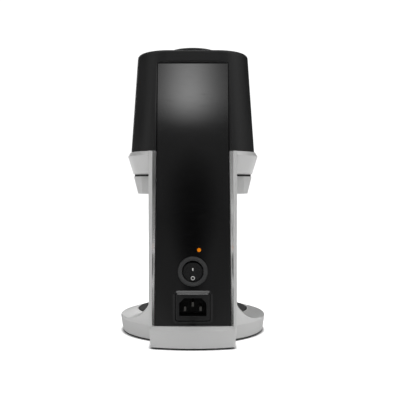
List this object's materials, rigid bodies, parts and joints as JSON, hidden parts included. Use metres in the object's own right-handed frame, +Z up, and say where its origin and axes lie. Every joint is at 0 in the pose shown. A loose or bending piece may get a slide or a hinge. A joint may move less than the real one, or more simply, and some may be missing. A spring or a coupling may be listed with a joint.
{
  "type": "automatic coffee tamper",
  "caption": "Automatic coffee tamper: round foot with a mat, column, and overhanging head whose motor-driven ram presses coffee in a portafilter held by a fork.",
  "frame": {"origin": "middle of the bounding box's bottom, on the surface that the feet stand on", "axes": "+Z up, -Y towards the user in front, +Y towards the back with the mains inlet, +X to the user's right"},
  "size_m": [0.148, 0.1724, 0.286],
  "materials": {
    "silver_paint": "satin silver powder coat",
    "hood_black": "fine satin texture",
    "panel_gloss": "high gloss",
    "mat_rubber": "fine speckled texture",
    "foot_rubber": "matte",
    "pad_black": "slightly polished by use",
    "polished_steel": "turned and polished",
    "machined_steel": "machined",
    "zinc_screws": "zinc plated",
    "black_steel": "black powder coat",
    "plate_aluminium": "milled",
    "bronze": "turned",
    "dial_metal": "anodised grey, fluted",
    "dial_gloss": "gloss",
    "display_glass": "smoked",
    "display_dark": "dark",
    "board_green": "solder mask",
    "component_black": "moulded",
    "heatsink": "extruded",
    "motor_steel": "rolled",
    "switch_black": "satin moulded",
    "rocker_black": "satin gloss",
    "inlet_black": "fine moulded texture",
    "nickel_pins": "nickel plated",
    "lamp_orange": "clear orange moulding",
    "lead_insulation": "silicone"
  },
  "bodies": {
    "housing": {"base_mat": "mat_rubber", "base_plate": "black_steel", "base_screws": "zinc_screws", "board_components": "component_black", "body_casting": "silver_paint", "control_board": "board_green", "dial_trim_ring": "dial_metal", "display_module": "display_dark", "display_window": "display_glass", "driver_heatsink": "heatsink", "encoder_body": "pad_black", "fork_arm_left": "silver_paint", "fork_arm_right": "silver_paint", "fork_pad_left": "pad_black", "fork_pad_right": "pad_black", "fork_screws": "zinc_screws", "fork_shims": "pad_black", "gearbox": "motor_steel", "guide_pillars": "polished_steel", "head_collar": "silver_paint", "home_sensor": "pad_black", "hood": "hood_black", "indicator_lamp": "lamp_orange", "inlet_frame": "inlet_black", "inlet_housing": "inlet_black", "inlet_pins": "nickel_pins", "interface_board": "board_green", "internal_leads": "lead_insulation", "lower_plate": "plate_aluminium", "mechanism_screws": "zinc_screws", "microswitches": "pad_black", "motor_can": "motor_steel", "ram_bush": "bronze", "rear_panel": "panel_gloss", "rubber_feet": "foot_rubber", "screw_bearings": "machined_steel", "supply_board": "board_green", "support_pillars": "machined_steel", "switch_body": "switch_black", "switch_tags": "nickel_pins", "upper_plate": "plate_aluminium"},
    "ram": {"tamper_disc": "polished_steel", "tamper_screw": "zinc_screws", "ram_tube": "polished_steel", "lead_nut": "bronze", "crosshead": "plate_aluminium", "crosshead_bushes": "bronze"},
    "drive_screw": {"lead_screw": "machined_steel", "drive_gear": "machined_steel", "screw_lock_nut": "zinc_screws"},
    "pinion": {"motor_shaft": "machined_steel", "motor_pinion": "bronze"},
    "encoder": {"encoder_plunger": "pad_black"},
    "dial": {"dial_knob": "dial_metal", "dial_cap": "dial_gloss", "dial_shaft": "machined_steel"},
    "rocker": {"switch_rocker": "rocker_black"},
    "sensor_left": {"sensing_plunger_left": "pad_black"},
    "sensor_right": {"sensing_plunger_right": "pad_black"}
  },
  "joints": [
    {"name": "screw_spin", "type": "hinge", "parent": "housing", "child": "drive_screw", "pos_m": [0, -0.01225, 0.24], "axis": [0, 0, 1], "range_deg": [0, 989]},
    {"name": "ram_slide", "type": "slide", "parent": "housing", "child": "ram", "axis": [0, 0, -1], "range_m": [0, 0.022]},
    {"name": "pinion_spin", "type": "hinge", "parent": "housing", "child": "pinion", "pos_m": [0, 0.05225, 0.24], "axis": [0, 0, 1], "range_deg": [-2285, 0]},
    {"name": "dial_push", "type": "slide", "parent": "housing", "child": "encoder", "axis": [0, 0, -1], "range_m": [0, 0.0008], "stiffness_N_per_m": 2500, "springref_m": -0.0016},
    {"name": "dial_turn", "type": "hinge", "parent": "encoder", "child": "dial", "pos_m": [0, -0.01225, 0.278], "axis": [0, 0, 1], "continuous": true},
    {"name": "rocker_tilt", "type": "hinge", "parent": "housing", "child": "rocker", "pos_m": [0, 0.0745, 0.0693], "axis": [1, 0, 0], "range_deg": [0, 14]},
    {"name": "sensor_left_push", "type": "slide", "parent": "housing", "child": "sensor_left", "axis": [0, 1, 0], "range_m": [0, 0.0025], "stiffness_N_per_m": 200, "springref_m": -0.003},
    {"name": "sensor_right_push", "type": "slide", "parent": "housing", "child": "sensor_right", "axis": [0, 1, 0], "range_m": [0, 0.0025], "stiffness_N_per_m": 200, "springref_m": -0.003}
  ],
  "couplings": [
    {"joint": "ram_slide", "follows": "screw_spin", "m_per_rad": 0.0012732},
    {"joint": "pinion_spin", "follows": "screw_spin", "ratio": -2.3077}
  ]
}
